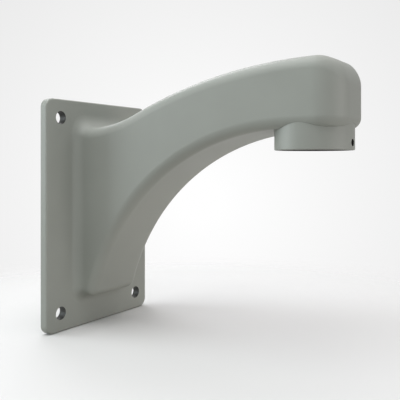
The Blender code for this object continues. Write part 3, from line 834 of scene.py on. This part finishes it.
def add_node(tree, kind, **settings):
    made = tree.nodes.new(kind)
    for name, value in settings.items():
        setattr(made, name, value)
    return made


def noise(tree, scale, detail):
    """Noise in the object's own metres."""
    place = add_node(tree, "ShaderNodeTexCoord")
    made = add_node(tree, "ShaderNodeTexNoise")
    made.inputs["Scale"].default_value = scale
    made.inputs["Detail"].default_value = detail
    tree.links.new(place.outputs["Object"], made.inputs["Vector"])
    return made.outputs["Fac"]


def map_range(tree, value, start, end, low, high, shape="LINEAR"):
    """Low up to the start, high from the end on, and in between by the shape."""
    made = add_node(tree, "ShaderNodeMapRange", interpolation_type=shape)
    made.inputs["From Min"].default_value = start
    made.inputs["From Max"].default_value = end
    made.inputs["To Min"].default_value = low
    made.inputs["To Max"].default_value = high
    tree.links.new(value, made.inputs["Value"])
    return made.outputs["Result"]


def remap(tree, value, low, high):
    """A noise's usual span, spread over these limits."""
    return map_range(tree, value, NOISE_LOW, NOISE_HIGH, low, high)


def blend_colours(tree, value, dark, light):
    made = add_node(tree, "ShaderNodeMix", data_type="RGBA")
    made.inputs["A"].default_value = (*dark, 1.0)
    made.inputs["B"].default_value = (*light, 1.0)
    tree.links.new(value, made.inputs["Factor"])
    return made.outputs["Result"]


def bump(tree, height, strength, distance, below=None):
    made = add_node(tree, "ShaderNodeBump")
    made.inputs["Strength"].default_value = strength
    made.inputs["Distance"].default_value = distance
    tree.links.new(height, made.inputs["Height"])
    if below is not None:
        tree.links.new(below, made.inputs["Normal"])
    return made.outputs["Normal"]


def new_material(name):
    mat = bpy.data.materials.new(name)
    mat.use_nodes = True
    return mat, mat.node_tree, mat.node_tree.nodes["Principled BSDF"]


def powder_coat():
    """Satin powder coat: faint orange peel, fine grain and a slow drift of tone and gloss."""
    mat, tree, shader = new_material("satin_powder_coat")
    drift = noise(tree, scale=24.0, detail=3.0)
    peel = noise(tree, scale=420.0, detail=2.0)
    grain = noise(tree, scale=2400.0, detail=2.0)
    tone = add_node(tree, "ShaderNodeMath", operation="ADD")
    tree.links.new(remap(tree, drift, low=0.0, high=0.7), tone.inputs[0])
    tree.links.new(remap(tree, grain, low=0.0, high=0.3), tone.inputs[1])
    colour = blend_colours(tree, tone.outputs[0], COAT_DARK, COAT_LIGHT)
    tree.links.new(colour, shader.inputs["Base Color"])
    tree.links.new(remap(tree, drift, low=0.44, high=0.54), shader.inputs["Roughness"])
    fine = bump(tree, grain, strength=0.10, distance=0.0001)
    both = bump(tree, peel, strength=0.06, distance=0.0004, below=fine)
    tree.links.new(both, shader.inputs["Normal"])
    shader.inputs["Specular IOR Level"].default_value = 0.5
    return mat


def machined(name, colour, low_rough, high_rough, scale, metallic=1.0):
    """Machined or plated metal with fine tool marks and a slight drift of gloss. With no metallic it also
    makes the near-black painted shade.
    """
    mat, tree, shader = new_material(name)
    shader.inputs["Metallic"].default_value = metallic
    marks = noise(tree, scale, detail=4.0)
    dark = tuple(channel * TOOL_MARK_SHADE for channel in colour)
    tree.links.new(blend_colours(tree, marks, dark, colour), shader.inputs["Base Color"])
    tree.links.new(remap(tree, marks, low_rough, high_rough), shader.inputs["Roughness"])
    tree.links.new(bump(tree, marks, strength=0.08, distance=0.0001), shader.inputs["Normal"])
    return mat


def rubber_material():
    mat, tree, shader = new_material("black_rubber")
    grain = noise(tree, scale=1500.0, detail=3.0)
    tree.links.new(blend_colours(tree, grain, RUBBER_DARK, RUBBER_LIGHT), shader.inputs["Base Color"])
    tree.links.new(remap(tree, grain, low=0.62, high=0.8), shader.inputs["Roughness"])
    tree.links.new(bump(tree, grain, strength=0.15, distance=0.0001), shader.inputs["Normal"])
    return mat


def build_camera():
    camera = bpy.data.objects.new("camera", bpy.data.cameras.new("camera"))
    camera.location = CAMERA_PLACE
    camera.rotation_euler = (math.pi / 2, 0.0, CAMERA_TURN)
    camera.data.lens = CAMERA_LENS
    camera.data.shift_y = CAMERA_SHIFT_Y
    camera.data.clip_start = CAMERA_CLIP
    bpy.context.scene.collection.objects.link(camera)
    bpy.context.scene.camera = camera


def build_lamps():
    """Soft round lamps, each aimed at the middle of the object."""
    for facts in LAMPS:
        way = Vector(facts["way"]).normalized()
        lamp = bpy.data.lights.new(facts["name"], "AREA")
        lamp.shape = "DISK"
        lamp.size = facts["size"]
        lamp.energy = facts["power"]
        lamp.color = facts["colour"]
        holder = bpy.data.objects.new(facts["name"], lamp)
        holder.location = (CASTING_LOW + CASTING_HIGH) / 2 + way * facts["distance"]
        holder.rotation_euler = way.to_track_quat("Z", "Y").to_euler()
        bpy.context.scene.collection.objects.link(holder)


def seen_rays(tree):
    """1 for the rays that show a thing as it looks: straight, in a reflection or through glass."""
    path = add_node(tree, "ShaderNodeLightPath")
    shown = path.outputs["Is Camera Ray"]
    for kind in ("Is Glossy Ray", "Is Transmission Ray"):
        either = add_node(tree, "ShaderNodeMath", operation="MAXIMUM")
        tree.links.new(shown, either.inputs[0])
        tree.links.new(path.outputs[kind], either.inputs[1])
        shown = either.outputs[0]
    return shown


def build_floor():
    """Pale floor that reflects a little warm light, more behind the object than in front of it.

    Where it is seen, it fades into the backdrop.
    """
    bm = bmesh.new()
    bmesh.ops.create_grid(bm, x_segments=1, y_segments=1, size=FLOOR_HALF)
    floor = finish_mesh("floor", bm)
    floor.location = (*FLOOR_MIDDLE, FLOOR_Z)
    mat, tree, shader = new_material("pale_floor")
    tree.nodes.remove(shader)
    place = add_node(tree, "ShaderNodeTexCoord").outputs["Object"]
    across = add_node(tree, "ShaderNodeSeparateXYZ")
    tree.links.new(place, across.inputs["Vector"])
    behind = map_range(tree, across.outputs["Y"], FLOOR_BOUNCE_START, FLOOR_BOUNCE_END, 0.0, 1.0)
    bounce = add_node(tree, "ShaderNodeBsdfDiffuse")
    tint = blend_colours(tree, behind, FLOOR_BOUNCE_FRONT, FLOOR_BOUNCE_BACK)
    tree.links.new(tint, bounce.inputs["Color"])

    away = add_node(tree, "ShaderNodeVectorMath", operation="LENGTH")
    tree.links.new(place, away.inputs[0])
    fade = map_range(tree, away.outputs["Value"], FLOOR_FADE_START, FLOOR_FADE_END, 0.0, 1.0, "SMOOTHSTEP")
    seen = add_node(tree, "ShaderNodeBsdfDiffuse")
    seen.inputs["Color"].default_value = (*FLOOR_SEEN, 1.0)
    clear = add_node(tree, "ShaderNodeBsdfTransparent")
    faded = add_node(tree, "ShaderNodeMixShader")
    tree.links.new(fade, faded.inputs["Fac"])
    tree.links.new(seen.outputs["BSDF"], faded.inputs[1])
    tree.links.new(clear.outputs["BSDF"], faded.inputs[2])

    mix = add_node(tree, "ShaderNodeMixShader")
    tree.links.new(seen_rays(tree), mix.inputs["Fac"])
    tree.links.new(bounce.outputs["BSDF"], mix.inputs[1])
    tree.links.new(faded.outputs["Shader"], mix.inputs[2])
    tree.links.new(mix.outputs["Shader"], tree.nodes["Material Output"].inputs["Surface"])
    floor.data.materials.append(mat)


def build_world():
    """Even light all round; where it is seen, a white backdrop that dims a little to the edges.

    Reflections show the same backdrop, dimmer still where it lies far outside the picture.
    """
    world = bpy.data.worlds.new("studio")
    world.use_nodes = True
    bpy.context.scene.world = world
    tree = world.node_tree
    light = tree.nodes["Background"]
    light.inputs["Color"].default_value = (1.0, 1.0, 1.0, 1.0)
    light.inputs["Strength"].default_value = WORLD_LEVEL
    place = add_node(tree, "ShaderNodeTexCoord")
    towards = add_node(tree, "ShaderNodeVectorMath", operation="DOT_PRODUCT")
    towards.inputs[1].default_value = Vector(BACKDROP_MIDDLE).normalized()
    tree.links.new(place.outputs["Generated"], towards.inputs[0])
    turned = add_node(tree, "ShaderNodeMath", operation="ARCCOSINE")
    tree.links.new(towards.outputs["Value"], turned.inputs[0])
    angle = turned.outputs[0]
    straight = map_range(tree, angle, BACKDROP_WHITE_ANGLE, BACKDROP_EDGE_ANGLE, 1.0, BACKDROP_EDGE)
    far = map_range(tree, angle, BACKDROP_FAR_START, BACKDROP_FAR_END, 1.0, BACKDROP_FAR)
    reflected = add_node(tree, "ShaderNodeMath", operation="MULTIPLY")
    tree.links.new(straight, reflected.inputs[0])
    tree.links.new(far, reflected.inputs[1])

    path = add_node(tree, "ShaderNodeLightPath")
    level = add_node(tree, "ShaderNodeMix", data_type="FLOAT")
    tree.links.new(path.outputs["Is Glossy Ray"], level.inputs["Factor"])
    tree.links.new(straight, level.inputs["A"])
    tree.links.new(reflected.outputs[0], level.inputs["B"])
    seen = add_node(tree, "ShaderNodeBackground")
    seen.inputs["Color"].default_value = (1.0, 1.0, 1.0, 1.0)
    tree.links.new(level.outputs["Result"], seen.inputs["Strength"])

    mix = add_node(tree, "ShaderNodeMixShader")
    tree.links.new(seen_rays(tree), mix.inputs["Fac"])
    tree.links.new(light.outputs["Background"], mix.inputs[1])
    tree.links.new(seen.outputs["Background"], mix.inputs[2])
    tree.links.new(mix.outputs["Shader"], tree.nodes["World Output"].inputs["Surface"])


def main():
    bpy.context.scene.view_settings.view_transform = "Standard"
    build_camera()
    build_world()
    build_lamps()
    build_floor()
    coat = powder_coat()
    bare = machined("bare_aluminium", BARE_ALUMINIUM, low_rough=0.30, high_rough=0.42, scale=900.0)
    # painted shade: near-black, non-metal colour for hole walls, the collar's bore and its lower face
    painted_shade = machined("painted_shade_material", PAINTED_SHADE_DARK, low_rough=0.45, high_rough=0.6, scale=1100.0,
                      metallic=0.0)
    stainless = machined("stainless_steel", STAINLESS, low_rough=0.24, high_rough=0.36, scale=1400.0)
    black = machined("black_oxide_steel", BLACK_OXIDE, low_rough=0.36, high_rough=0.5, scale=1800.0,
                     metallic=0.8)
    zinc = machined("zinc_plate", ZINC, low_rough=0.28, high_rough=0.42, scale=1200.0)
    rubber = rubber_material()
    build_casting(coat, painted_shade, bare)
    build_collar(coat, painted_shade)
    build_o_ring(rubber)
    build_set_screw(black)
    build_gasket(rubber)
    build_lanyard_eye(stainless)
    build_lanyard_nut(stainless)
    build_earth_screw(zinc)
    build_earth_washer(zinc)


main()
